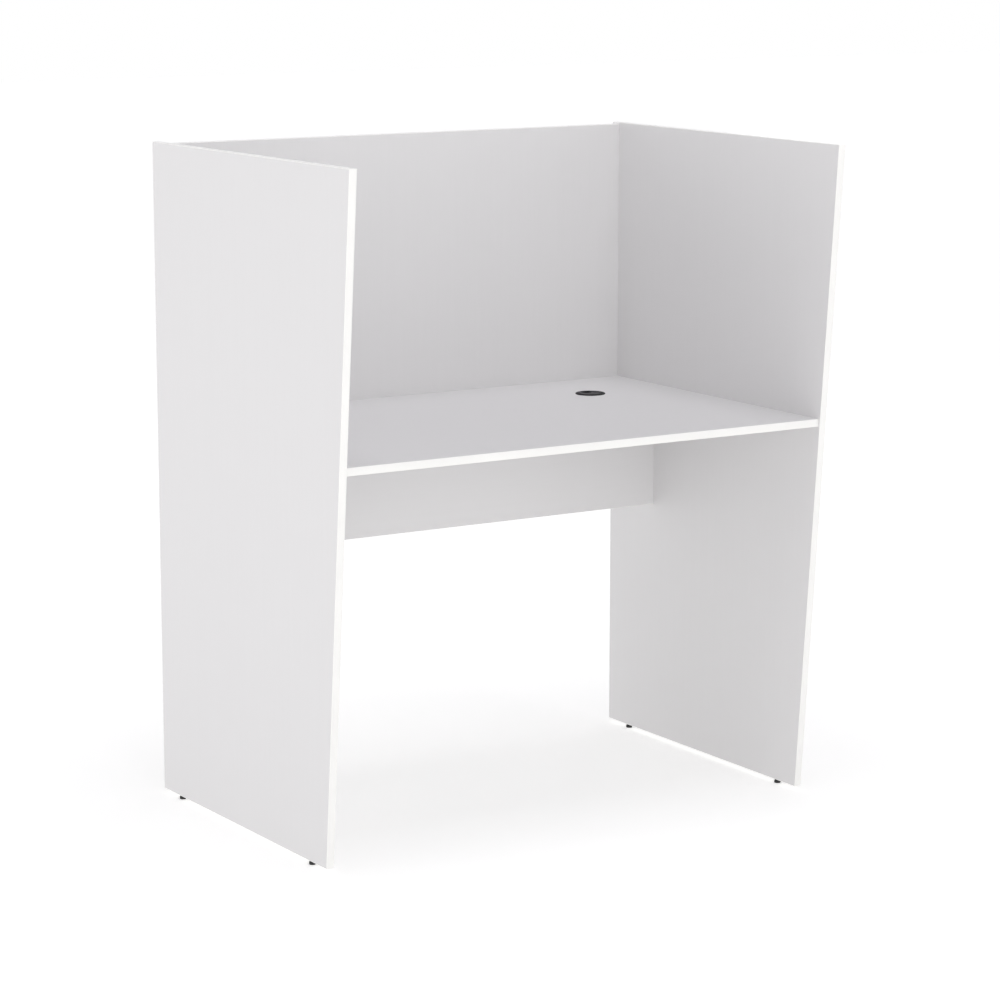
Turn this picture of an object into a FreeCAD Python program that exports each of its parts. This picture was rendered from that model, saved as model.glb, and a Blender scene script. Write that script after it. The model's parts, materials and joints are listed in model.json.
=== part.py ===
"""Study carrel: white faced boards, edge strips, hidden fittings, a cable grommet and four screw feet.

Millimetres.  X runs across the carrel, -Y is the open front, +Z is up.  The origin is the middle of
the footprint at floor level.  Carcass bodies are drawn from the rear edge of the sides (local y = 0)
and from the underside of the sides (local z = 0), and their Placement lifts them onto the feet.
"""
import FreeCAD, Part
import os

import Sketcher

DIMENSIONS = {
    # Carcass
    "overall_width": 1072,
    "side_height": 1270,
    "side_depth_top": 760,
    "side_depth_foot": 655,
    "board": 15,
    "strip": 1,
    "strip_round": 0.7,
    # Desktop, rear screen and modesty panel
    "desk_height": 742,
    "desk_setback": 5,
    "rear_recess": 9,
    "screen_drop": 3,
    "modesty_set_in": 159,
    "modesty_depth": 237,
    # Places of the fittings along the joints
    "desk_fixing_inset": 70,
    "screen_fixing_inset": 80,
    "modesty_fixing_inset": 50,
    "cross_fixing_inset": 200,
    # Cam, its bolt and its cover
    "cam_radius": 7.5,
    "cam_floor": 3,
    "cam_reach": 24,
    "cam_channel": 3.8,
    "cam_hook_room": 3,
    "cross_length": 9,
    "cross_width": 1.8,
    "cross_depth": 2,
    "bolt_thread_radius": 2.5,
    "bolt_thread_length": 11,
    "bolt_shank_radius": 3.4,
    "bolt_neck_radius": 2,
    "bolt_neck_length": 7,
    "bolt_head_length": 4,
    "bolt_bore_radius": 4,
    "cover_radius": 8.6,
    "cover_thickness": 1,
    "cover_peg_radius": 2,
    "cover_peg_length": 3,
    # Dowel
    "dowel_radius": 4,
    "dowel_length": 30,
    "dowel_in_face": 10,
    # Clearances
    "fit_gap": 0.1,
    "end_gap": 0.5,
    # Screw foot
    "foot_height": 8,
    "foot_inset": 66,
    "foot_gap": 0.3,
    "foot_radius": 6.5,
    "foot_disc": 4.7,
    "foot_half_flats": 5,
    "foot_round": 0.8,
    "stud_radius": 3,
    "stud_length": 30,
    "stud_lift": 2,
    "stud_gap": 0.06,
    "stud_room": 4,
    "insert_radius": 4,
    "insert_length": 13,
    # Cable grommet
    "grommet_across": 332,
    "grommet_from_rear": 205,
    "grommet_radius": 25,
    "rim_overlap": 5,
    "rim_thickness": 2,
    "rim_round": 1,
    "sleeve_wall": 2,
    "sleeve_drop": 4,
    "ledge_width": 2,
    "ledge_thickness": 1.5,
    "lid_thickness": 2.5,
    "lid_gap": 0.3,
    "lid_round": 0.6,
    "skirt_wall": 1.5,
    "skirt_drop": 5,
    "notch_radius": 11,
    "notch_depth": 19,
}

INSIDE_HALF = "(dim.overall_width / 2 - dim.board)"
REAR_EDGE = "(dim.side_depth_top / 2)"
SLOPE = "((dim.side_depth_top - dim.side_depth_foot) / dim.side_height)"
STRIP_ON_SLOPE = f"(dim.strip * sqrt(1 + {SLOPE} * {SLOPE}))"
DESK_UNDER = "(dim.desk_height - dim.board)"
DESK_CORE = "(dim.desk_height - dim.board / 2)"
DESK_REAR = "(-dim.rear_recess)"
SCREEN_TOP = "(dim.side_height - dim.screen_drop)"
SCREEN_CORE = "(-dim.rear_recess - dim.board / 2)"
MODESTY_REAR = "(dim.modesty_set_in - dim.board)"
MODESTY_CORE = "(dim.board / 2 - dim.modesty_set_in)"
MODESTY_FOOT = f"({DESK_UNDER} - dim.modesty_depth)"
CAM_HEIGHT = "(dim.board - dim.cam_floor)"
CAM_ACROSS = f"({INSIDE_HALF} - dim.cam_reach)"
CROSS_OUTER = f"({INSIDE_HALF} - dim.cross_fixing_inset)"
BORE_RADIUS = "(dim.grommet_radius - dim.fit_gap - dim.sleeve_wall)"
LEDGE_RADIUS = f"({BORE_RADIUS} - dim.ledge_width)"
RIM_RADIUS = "(dim.grommet_radius + dim.rim_overlap)"
LID_RADIUS = f"({BORE_RADIUS} - dim.lid_gap)"
LID_SEAT = "(dim.rim_thickness - dim.lid_thickness)"
BOLT_SHANK = "(dim.cam_reach - dim.bolt_neck_length - dim.bolt_head_length / 2)"

SIDES = {"left": -1, "right": 1}
ENDS = ("front", "rear")
POINT_START = 1
POINT_END = 2
POINT_CENTRE = 3
SKETCH_ORIGIN = (-1, 1)
ON_CORNER = 0.001
ON_EDGE = 0.01
LEAST_CUT = 0.01

document = FreeCAD.newDocument("StudyCarrel")
sheet = document.addObject("Spreadsheet::Sheet", "dim")
for row, (alias, value) in enumerate(DIMENSIONS.items(), start=1):
    sheet.set(f"A{row}", alias)
    sheet.set(f"B{row}", str(value))
    sheet.setAlias(f"B{row}", alias)
document.recompute()

subparts = {}


def number(expression):
    """Work an expression out on the sheet."""
    return float(sheet.evalExpression(expression))


def side_front(height):
    """Expression for the y of the sides' sloping front edge at a height."""
    return f"(-dim.side_depth_foot - {SLOPE} * ({height}))"


def between(first, last, share):
    """Expression for the place a share of the way from first to last."""
    return f"({first} + ({last} - {first}) * {share})"


DESK_FRONT = f"({side_front(DESK_UNDER)} + dim.desk_setback)"


def new_body(label, x="0", y=REAR_EDGE, z="dim.foot_height"):
    """Start a sub-part whose Placement is bound to the sheet."""
    body = document.addObject("PartDesign::Body", label)
    body.Label = label
    body.AllowCompound = True
    body.setExpression("Placement.Base.x", x)
    body.setExpression("Placement.Base.y", y)
    body.setExpression("Placement.Base.z", z)
    subparts[label] = body
    return body


def new_sketch(body, plane, offset="0"):
    """Sketch on one of the body's own origin planes, moved along the plane's normal."""
    sketch = body.newObject("Sketcher::SketchObject", f"{body.Name}_sketch")
    support = next(item for item in body.Origin.OriginFeatures if item.Role == plane)
    sketch.AttachmentSupport = [(support, "")]
    sketch.MapMode = "FlatFace"
    sketch.setExpression("AttachmentOffset.Base.z", offset)
    return sketch


def pin_point(sketch, geometry, point, place):
    """Tie a point of the sketch to two expressions, measured from the sketch's origin."""
    for kind, expression in zip(("DistanceX", "DistanceY"), place):
        constraint = Sketcher.Constraint(kind, *SKETCH_ORIGIN, geometry, point, number(expression))
        index = sketch.addConstraint(constraint)
        sketch.setExpression(f"Constraints[{index}]", expression)


def flat_point(place):
    """Vector for a pair of expressions."""
    return FreeCAD.Vector(number(place[0]), number(place[1]), 0)


def draw_outline(sketch, corners):
    """Closed outline through corners, each a pair of expressions."""
    first = sketch.GeometryCount
    count = len(corners)
    for index in range(count):
        start = flat_point(corners[index])
        end = flat_point(corners[(index + 1) % count])
        sketch.addGeometry(Part.LineSegment(start, end), False)
    for index in range(count):
        line = first + index
        following = first + (index + 1) % count
        sketch.addConstraint(Sketcher.Constraint("Coincident", line, POINT_END, following, POINT_START))
        pin_point(sketch, line, POINT_START, corners[index])


def draw_circles(sketch, centres, radius):
    """Circles of one radius, each centre a pair of expressions."""
    for centre in centres:
        circle = Part.Circle(flat_point(centre), FreeCAD.Vector(0, 0, 1), number(radius))
        index = sketch.addGeometry(circle, False)
        pin_point(sketch, index, POINT_CENTRE, centre)
        constraint = sketch.addConstraint(Sketcher.Constraint("Radius", index, number(radius)))
        sketch.setExpression(f"Constraints[{constraint}]", radius)


def box_corners(low_x, high_x, low_y, high_y):
    """Corners of an upright rectangle."""
    return [(low_x, low_y), (high_x, low_y), (high_x, high_y), (low_x, high_y)]


def pad(body, sketch, length, towards=1):
    """Add material from the sketch, along its normal or against it."""
    feature = body.newObject("PartDesign::Pad", f"{body.Name}_pad")
    feature.Profile = sketch
    feature.setExpression("Length", length)
    feature.Reversed = towards < 0
    return feature


def cut(body, sketch, depth, towards=1):
    """Take material away from the sketch, along its normal or against it."""
    feature = body.newObject("PartDesign::Pocket", f"{body.Name}_cut")
    feature.Profile = sketch
    feature.setExpression("Length", depth)
    feature.Reversed = towards > 0
    return feature


def turn(body, profile):
    """Turn a profile of (radius, height) pairs about the body's upright axis."""
    sketch = new_sketch(body, "XZ_Plane")
    draw_outline(sketch, profile)
    feature = body.newObject("PartDesign::Revolution", f"{body.Name}_turned")
    feature.Profile = sketch
    feature.ReferenceAxis = (sketch, ["V_Axis"])
    feature.Angle = 360
    return feature


def stack(body, plane, base, towards, centres, stages):
    """Stepped pins, one at each centre: a stage is (start from base, length, radius)."""
    for start, length, radius in stages:
        sketch = new_sketch(body, plane, f"{base} + {towards} * ({start})")
        draw_circles(sketch, centres, radius)
        pad(body, sketch, length, towards)


def drill(body, plane, base, towards, centres, depth, radius):
    """Round blind holes, one at each centre, from the base plane."""
    sketch = new_sketch(body, plane, base)
    draw_circles(sketch, centres, radius)
    cut(body, sketch, depth, towards)


def soften(body, feature, radius, wanted):
    """Fillet the edges of a feature that a test picks out."""
    document.recompute()
    edges = enumerate(feature.Shape.Edges, start=1)
    names = [f"Edge{index}" for index, edge in edges if wanted(edge)]
    if not names:
        raise RuntimeError(f"no edge to soften on {body.Label}")
    fillet = body.newObject("PartDesign::Fillet", f"{body.Name}_fillet")
    fillet.Base = (feature, names)
    fillet.setExpression("Radius", radius)


# Joints of the carcass ---------------------------------------------------------------------------

def joint_places(first, last, cams, dowels):
    """Places of the cams and of the dowels between two ends of a joint, given as shares of it."""
    return [[between(first, last, share) for share in shares] for shares in (cams, dowels)]


DESK_CAMS, DESK_DOWELS = joint_places(f"({DESK_REAR} - dim.desk_fixing_inset)",
                                      f"({DESK_FRONT} + dim.desk_fixing_inset)",
                                      (0, 0.5, 1), (0.25, 0.75))
SCREEN_CAMS, SCREEN_DOWELS = joint_places("(dim.desk_height + dim.screen_fixing_inset)",
                                          f"({SCREEN_TOP} - dim.screen_fixing_inset)",
                                          (0, 1), (0.35, 0.65))
MODESTY_CAMS, MODESTY_DOWELS = joint_places(f"({MODESTY_FOOT} + dim.modesty_fixing_inset)",
                                            f"({DESK_UNDER} - dim.modesty_fixing_inset)",
                                            (0, 1), (0.5,))
CROSS_CAMS, CROSS_DOWELS = joint_places(f"(-{CROSS_OUTER})", CROSS_OUTER, (0, 1), (0.2, 0.5, 0.8))

SIDE_CAMS = ([(y, DESK_CORE) for y in DESK_CAMS]
             + [(SCREEN_CORE, z) for z in SCREEN_CAMS]
             + [(MODESTY_CORE, z) for z in MODESTY_CAMS])
SIDE_DOWELS = ([(y, DESK_CORE) for y in DESK_DOWELS]
               + [(SCREEN_CORE, z) for z in SCREEN_DOWELS]
               + [(MODESTY_CORE, z) for z in MODESTY_DOWELS])
CROSS_JOINTS = {
    "screen": {"base": "dim.desk_height", "towards": 1, "line": SCREEN_CORE},
    "modesty": {"base": DESK_UNDER, "towards": -1, "line": MODESTY_CORE},
}

BOLT_STAGES = [
    ("-dim.bolt_thread_length", "dim.bolt_thread_length", "dim.bolt_thread_radius"),
    ("0", BOLT_SHANK, "dim.bolt_shank_radius"),
    (BOLT_SHANK, "dim.bolt_neck_length", "dim.bolt_neck_radius"),
    (f"{BOLT_SHANK} + dim.bolt_neck_length", "dim.bolt_head_length", "dim.bolt_shank_radius"),
]
DOWEL_STAGES = [("-dim.dowel_in_face", "dim.dowel_length", "dim.dowel_radius")]


def drill_face(body, plane, base, towards, cams, dowels):
    """Holes in a board's face for bolt threads and the short ends of dowels."""
    drill(body, plane, base, towards, cams,
          "dim.bolt_thread_length + dim.end_gap", "dim.bolt_thread_radius + dim.fit_gap")
    drill(body, plane, base, towards, dowels,
          "dim.dowel_in_face + dim.end_gap", "dim.dowel_radius + dim.fit_gap")


def drill_edge(body, plane, base, towards, cams, dowels):
    """Holes in a board's edge for bolt shanks and the long ends of dowels."""
    drill(body, plane, base, towards, cams, "dim.cam_reach", "dim.bolt_bore_radius")
    drill(body, plane, base, towards, dowels,
          "dim.dowel_length - dim.dowel_in_face + dim.end_gap", "dim.dowel_radius + dim.fit_gap")


def cam_group(label, plane, base, towards, centres, channels):
    """Cams let into a face, open towards their bolts, with a cross recess for the driver."""
    body = new_body(label)
    stack(body, plane, base, towards, centres, [("0", CAM_HEIGHT, "dim.cam_radius")])
    for channel_plane, channel_base, channel_towards, places in channels:
        start = f"{channel_base} + {channel_towards} * (dim.cam_reach + dim.cam_hook_room)"
        drill(body, channel_plane, start, -channel_towards, places,
              "dim.cam_hook_room + 2 * dim.cam_radius", "dim.cam_channel")
    for half_x, half_y in (("dim.cross_length / 2", "dim.cross_width / 2"),
                           ("dim.cross_width / 2", "dim.cross_length / 2")):
        sketch = new_sketch(body, plane, base)
        for x, y in centres:
            draw_outline(sketch, box_corners(f"{x} - {half_x}", f"{x} + {half_x}",
                                             f"{y} - {half_y}", f"{y} + {half_y}"))
        cut(body, sketch, "dim.cross_depth", towards)
    drill(body, plane, base, towards, centres,
          "dim.cover_peg_length + dim.end_gap", "dim.cover_peg_radius + dim.fit_gap")


def cover_group(label, plane, base, outward, centres):
    """Thin round covers over the cams, each with a peg in its cam."""
    body = new_body(label)
    stack(body, plane, base, outward, centres,
          [("-dim.cover_peg_length", "dim.cover_peg_length", "dim.cover_peg_radius"),
           ("0", "dim.cover_thickness", "dim.cover_radius")])


def cam_bores(body, plane, base, towards, centres):
    """Wide bores in a board's face for the cams."""
    drill(body, plane, base, towards, centres,
          f"{CAM_HEIGHT} + dim.fit_gap", "dim.cam_radius + dim.fit_gap")


# Sides -------------------------------------------------------------------------------------------

def foot_places(sign):
    """The two feet's axes on a side's underside."""
    x = f"{sign} * dim.board / 2"
    return {"front": (x, "dim.foot_inset - dim.side_depth_foot"), "rear": (x, "-dim.foot_inset")}


def side_panel(side, sign):
    """Full-height side board, drawn inside its edge strips and drilled from its inner face."""
    body = new_body(f"{side}_side_panel", x=f"{sign} * {INSIDE_HALF}")
    low = "dim.strip"
    high = "(dim.side_height - dim.strip)"
    sketch = new_sketch(body, "YZ_Plane")
    draw_outline(sketch, [("-dim.strip", low), ("-dim.strip", high),
                          (f"{side_front(high)} + {STRIP_ON_SLOPE}", high),
                          (f"{side_front(low)} + {STRIP_ON_SLOPE}", low)])
    pad(body, sketch, "dim.board", sign)
    drill_face(body, "YZ_Plane", "0", sign, SIDE_CAMS, SIDE_DOWELS)
    centres = list(foot_places(sign).values())
    drill(body, "XY_Plane", "0", 1, centres, "dim.insert_length", "dim.insert_radius + dim.fit_gap")
    drill(body, "XY_Plane", "0", 1, centres,
          "dim.stud_length + dim.stud_room", "dim.stud_radius + dim.end_gap")


def side_strip(side, sign, name, corners):
    """Edge strip of a side; its first two corners are on the outside."""
    body = new_body(f"{side}_side_{name}_strip", x=f"{sign} * {INSIDE_HALF}")
    sketch = new_sketch(body, "YZ_Plane")
    draw_outline(sketch, corners)
    soften_strip(body, pad(body, sketch, "dim.board", sign), corners[:2])
    return body


def soften_strip(body, feature, outer_corners):
    """Round the two long outer edges of a strip drawn in the YZ plane."""
    outer = [flat_point(corner) for corner in outer_corners]
    shortest = 2 * number("dim.board")

    def on_outside(edge):
        ends = [FreeCAD.Vector(vertex.Y, vertex.Z, 0) for vertex in edge.Vertexes]
        beside = all(min(end.distanceToPoint(corner) for corner in outer) < ON_CORNER for end in ends)
        return beside and edge.Length > shortest

    soften(body, feature, "dim.strip_round", on_outside)


def side_strips(side, sign):
    """The four strips round a side board; the front and rear ones cover the others' ends."""
    top = "dim.side_height"
    under_top = "(dim.side_height - dim.strip)"
    inner_foot = f"({side_front('0')} + {STRIP_ON_SLOPE})"
    inner_top = f"({side_front(top)} + {STRIP_ON_SLOPE})"
    side_strip(side, sign, "rear", [("0", "0"), ("0", top), ("-dim.strip", top), ("-dim.strip", "0")])
    side_strip(side, sign, "front", [(side_front("0"), "0"), (side_front(top), top),
                                     (inner_top, top), (inner_foot, "0")])
    side_strip(side, sign, "top", [("-dim.strip", top), (inner_top, top),
                                   (f"{side_front(under_top)} + {STRIP_ON_SLOPE}", under_top),
                                   ("-dim.strip", under_top)])
    bottom = side_strip(side, sign, "bottom", [("-dim.strip", "0"), (inner_foot, "0"),
                                               (f"{side_front('dim.strip')} + {STRIP_ON_SLOPE}", "dim.strip"),
                                               ("-dim.strip", "dim.strip")])
    drill(bottom, "XY_Plane", "0", 1, list(foot_places(sign).values()),
          "dim.strip", "dim.insert_radius + dim.fit_gap")


def side_fasteners(side, sign):
    """Bolts screwed into a side's inner face, and the dowels beside them."""
    bolts = new_body(f"{side}_cam_bolts", x=f"{sign} * {INSIDE_HALF}")
    stack(bolts, "YZ_Plane", "0", -sign, SIDE_CAMS, BOLT_STAGES)
    dowels = new_body(f"{side}_dowels", x=f"{sign} * {INSIDE_HALF}")
    stack(dowels, "YZ_Plane", "0", -sign, SIDE_DOWELS, DOWEL_STAGES)


# Boards between the sides ------------------------------------------------------------------------

def end_joint(body, cams, dowels):
    """Drill both ends of a board that runs from side to side."""
    for sign in SIDES.values():
        drill_edge(body, "YZ_Plane", f"{sign} * {INSIDE_HALF}", -sign, cams, dowels)


def end_channels(cams):
    """Where the bolts of both sides enter the cams of a cross board."""
    return [("YZ_Plane", f"{sign} * {INSIDE_HALF}", -sign, cams) for sign in SIDES.values()]


def cross_channel(name):
    """Where the desktop's own bolts enter the cams of the screen or the modesty panel."""
    joint = CROSS_JOINTS[name]
    return [("XY_Plane", joint["base"], joint["towards"], [(x, joint["line"]) for x in CROSS_CAMS])]


def desktop():
    """Worktop between the sides, with the grommet's hole."""
    body = new_body("desktop")
    sketch = new_sketch(body, "XY_Plane", DESK_UNDER)
    draw_outline(sketch, box_corners(f"-{INSIDE_HALF}", INSIDE_HALF,
                                     f"{DESK_FRONT} + dim.strip", f"{DESK_REAR} - dim.strip"))
    pad(body, sketch, "dim.board")
    drill(body, "XY_Plane", DESK_UNDER, 1, [("dim.grommet_across", "-dim.grommet_from_rear")],
          "dim.board", "dim.grommet_radius")
    places = [(f"{sign} * {CAM_ACROSS}", y) for sign in SIDES.values() for y in DESK_CAMS]
    cams = [(y, DESK_CORE) for y in DESK_CAMS]
    end_joint(body, cams, [(y, DESK_CORE) for y in DESK_DOWELS])
    cam_bores(body, "XY_Plane", DESK_UNDER, 1, places)
    for joint in CROSS_JOINTS.values():
        drill_face(body, "XY_Plane", joint["base"], -joint["towards"],
                   [(x, joint["line"]) for x in CROSS_CAMS], [(x, joint["line"]) for x in CROSS_DOWELS])
    cam_group("desktop_cams", "XY_Plane", DESK_UNDER, 1, places, end_channels(cams))
    cover_group("desktop_cam_covers", "XY_Plane", DESK_UNDER, -1, places)


def upright_board(label, rear_face, low, high, cams, dowels, joint_name):
    """Upright board between the sides whose cams are let into its rear face."""
    joint = CROSS_JOINTS[joint_name]
    body = new_body(label)
    sketch = new_sketch(body, "XZ_Plane", rear_face)
    draw_outline(sketch, box_corners(f"-{INSIDE_HALF}", INSIDE_HALF, low, high))
    pad(body, sketch, "dim.board")
    end_cams = [(joint["line"], z) for z in cams]
    end_joint(body, end_cams, [(joint["line"], z) for z in dowels])
    drill_edge(body, "XY_Plane", joint["base"], joint["towards"],
               [(x, joint["line"]) for x in CROSS_CAMS], [(x, joint["line"]) for x in CROSS_DOWELS])
    across = [(x, f"{joint['base']} + {joint['towards']} * dim.cam_reach") for x in CROSS_CAMS]
    places = [(f"{sign} * {CAM_ACROSS}", z) for sign in SIDES.values() for z in cams] + across
    cam_bores(body, "XZ_Plane", rear_face, 1, places)
    cam_group(f"{joint_name}_cams", "XZ_Plane", rear_face, 1, places,
              end_channels(end_cams) + cross_channel(joint_name))
    cover_group(f"{joint_name}_cam_covers", "XZ_Plane", rear_face, -1, places)


def cross_strip(label, corners):
    """Edge strip that runs from side to side; its first two corners are on the outside."""
    body = new_body(label)
    sketch = new_sketch(body, "YZ_Plane", f"-{INSIDE_HALF}")
    draw_outline(sketch, corners)
    soften_strip(body, pad(body, sketch, f"2 * {INSIDE_HALF}"), corners[:2])


def cross_strips():
    """Strips on the edges of the desktop, the screen and the modesty panel that show."""
    for label, outer, inner in (("desktop_front_strip", DESK_FRONT, f"{DESK_FRONT} + dim.strip"),
                                ("desktop_rear_strip", DESK_REAR, f"{DESK_REAR} - dim.strip")):
        cross_strip(label, [(outer, DESK_UNDER), (outer, "dim.desk_height"),
                            (inner, "dim.desk_height"), (inner, DESK_UNDER)])
    screen_front = "(-dim.rear_recess - dim.board)"
    cross_strip("rear_screen_top_strip", [(DESK_REAR, SCREEN_TOP), (screen_front, SCREEN_TOP),
                                          (screen_front, f"{SCREEN_TOP} - dim.strip"),
                                          (DESK_REAR, f"{SCREEN_TOP} - dim.strip")])
    cross_strip("modesty_bottom_strip", [(f"-{MODESTY_REAR}", MODESTY_FOOT),
                                         ("-dim.modesty_set_in", MODESTY_FOOT),
                                         ("-dim.modesty_set_in", f"{MODESTY_FOOT} + dim.strip"),
                                         (f"-{MODESTY_REAR}", f"{MODESTY_FOOT} + dim.strip")])


def cross_fasteners(name):
    """Bolts and dowels that stand in the desktop and hold an upright board."""
    joint = CROSS_JOINTS[name]
    bolts = new_body(f"{name}_to_desk_cam_bolts")
    stack(bolts, "XY_Plane", joint["base"], joint["towards"],
          [(x, joint["line"]) for x in CROSS_CAMS], BOLT_STAGES)
    dowels = new_body(f"{name}_to_desk_dowels")
    stack(dowels, "XY_Plane", joint["base"], joint["towards"],
          [(x, joint["line"]) for x in CROSS_DOWELS], DOWEL_STAGES)


# Screw feet --------------------------------------------------------------------------------------

def screw_foot(side, sign, end):
    """Foot with a moulded base on a threaded stud, and the threaded insert in the side."""
    local_x, local_y = foot_places(sign)[end]
    x = f"{sign} * {INSIDE_HALF} + {local_x}"
    y = f"{REAR_EDGE} + {local_y}"
    axis = [("0", "0")]
    height = "(dim.foot_height - dim.foot_gap)"

    base = new_body(f"{side}_{end}_foot_base", x, y, "0")
    stack(base, "XY_Plane", "0", 1, axis, [("0", "dim.foot_disc", "dim.foot_radius")])
    soften(base, base.Tip, "dim.foot_round", lambda edge: edge.Closed)
    sketch = new_sketch(base, "XY_Plane", "dim.foot_disc")
    corner = "(dim.foot_half_flats / sqrt(3))"
    draw_outline(sketch, [(f"2 * {corner}", "0"), (corner, "dim.foot_half_flats"),
                          (f"-{corner}", "dim.foot_half_flats"), (f"-2 * {corner}", "0"),
                          (f"-{corner}", "-dim.foot_half_flats"), (corner, "-dim.foot_half_flats")])
    pad(base, sketch, f"{height} - dim.foot_disc")
    drill(base, "XY_Plane", "dim.stud_lift", 1, axis, height, "dim.stud_radius + dim.stud_gap")

    stud = new_body(f"{side}_{end}_foot_stud", x, y, "0")
    stack(stud, "XY_Plane", "dim.stud_lift", 1, axis, [("0", "dim.stud_length", "dim.stud_radius")])

    insert = new_body(f"{side}_{end}_foot_insert", x, y, "dim.foot_height")
    stack(insert, "XY_Plane", "0", 1, axis, [("0", "dim.insert_length", "dim.insert_radius")])
    drill(insert, "XY_Plane", "0", 1, axis, "dim.insert_length", "dim.stud_radius + dim.stud_gap")


# Cable grommet -----------------------------------------------------------------------------------

def top_rim(radius):
    """Test for the round edge at a radius, on the grommet's top."""
    wide = number(radius)
    level = number("dim.rim_thickness")

    def on_top_rim(edge):
        box = edge.BoundBox
        return abs(box.XMax - wide) < ON_EDGE and abs(box.ZMin - level) < ON_EDGE

    return on_top_rim


def grommet_sleeve(place):
    """Flanged liner of the desktop's hole, with a ledge that carries the lid."""
    body = new_body("grommet_sleeve", *place)
    outer = "(dim.grommet_radius - dim.fit_gap)"
    foot = "(-dim.board - dim.sleeve_drop)"
    under_ledge = f"({LID_SEAT} - dim.ledge_thickness)"
    turned = turn(body, [(BORE_RADIUS, foot), (outer, foot), (outer, "0"), (RIM_RADIUS, "0"),
                         (RIM_RADIUS, "dim.rim_thickness"), (BORE_RADIUS, "dim.rim_thickness"),
                         (BORE_RADIUS, LID_SEAT), (LEDGE_RADIUS, LID_SEAT),
                         (LEDGE_RADIUS, under_ledge), (BORE_RADIUS, under_ledge)])
    soften(body, turned, "dim.rim_round", top_rim(RIM_RADIUS))


def grommet_lid(place):
    """Lid that turns in the sleeve, with a skirt and a round-ended notch for cables at the rear."""
    body = new_body("grommet_lid", *place)
    notch_centre = f"({LID_RADIUS} - dim.notch_depth + dim.notch_radius)"
    skirt_out = f"({LEDGE_RADIUS} - dim.lid_gap)"
    skirt_in = f"({skirt_out} - dim.skirt_wall)"
    foot = f"({LID_SEAT} - dim.skirt_drop)"
    turned = turn(body, [("0", LID_SEAT), (skirt_in, LID_SEAT), (skirt_in, foot), (skirt_out, foot),
                         (skirt_out, LID_SEAT), (LID_RADIUS, LID_SEAT), (LID_RADIUS, "dim.rim_thickness"),
                         ("0", "dim.rim_thickness")])
    soften(body, turned, "dim.lid_round", top_rim(LID_RADIUS))
    depth = "dim.rim_thickness + dim.lid_thickness + dim.skirt_drop"
    sketch = new_sketch(body, "XY_Plane", "dim.rim_thickness")
    draw_outline(sketch, box_corners("-dim.notch_radius", "dim.notch_radius",
                                     notch_centre, RIM_RADIUS))
    cut(body, sketch, depth, -1)
    drill(body, "XY_Plane", "dim.rim_thickness", -1, [("0", notch_centre)],
          depth, "dim.notch_radius")


# Assembly ----------------------------------------------------------------------------------------

def build_carrel():
    """Make every sub-part."""
    for side, sign in SIDES.items():
        side_panel(side, sign)
        side_strips(side, sign)
        side_fasteners(side, sign)
        for end in ENDS:
            screw_foot(side, sign, end)
    desktop()
    upright_board("rear_screen", "dim.rear_recess", "dim.desk_height", f"{SCREEN_TOP} - dim.strip",
                  SCREEN_CAMS, SCREEN_DOWELS, "screen")
    upright_board("modesty_panel", MODESTY_REAR, f"{MODESTY_FOOT} + dim.strip", DESK_UNDER,
                  MODESTY_CAMS, MODESTY_DOWELS, "modesty")
    cross_strips()
    for name in CROSS_JOINTS:
        cross_fasteners(name)
    place = ("dim.grommet_across", f"{REAR_EDGE} - dim.grommet_from_rear",
             "dim.foot_height + dim.desk_height")
    grommet_sleeve(place)
    grommet_lid(place)


def check_model():
    """Stop if a feature failed, a cut took nothing away or a sub-part has no valid solid."""
    for item in document.Objects:
        if "Invalid" in item.State or "Error" in item.State:
            raise RuntimeError(f"{item.Label} failed: {item.State}")
        if item.TypeId == "PartDesign::Pocket":
            before = item.BaseFeature.Shape.Volume
            if item.Shape.Volume > before - LEAST_CUT:
                raise RuntimeError(f"{item.Label} takes nothing away")
    for label, body in subparts.items():
        if body.Shape.isNull() or not body.Shape.isValid() or not body.Shape.Solids:
            raise RuntimeError(f"{label} has no valid solid")


def write_steps():
    """Write each sub-part to its own file."""
    os.makedirs("parts", exist_ok=True)
    for label, body in subparts.items():
        body.Shape.exportStep(f"parts/{label}.step")


build_carrel()
document.recompute()
check_model()
write_steps()
for label, body in subparts.items():
    print(label, len(body.Shape.Solids), round(body.Shape.Volume))
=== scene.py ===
"""Study carrel: finishes, moulded and turned fittings, edge strips and a plain studio.

Metres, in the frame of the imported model: X across the carrel, -Y the open front, +Z up.
"""

import json
import math

import bmesh
import bpy
from bpy.props import FloatProperty, FloatVectorProperty, PointerProperty
from mathutils import Matrix, Vector

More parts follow.
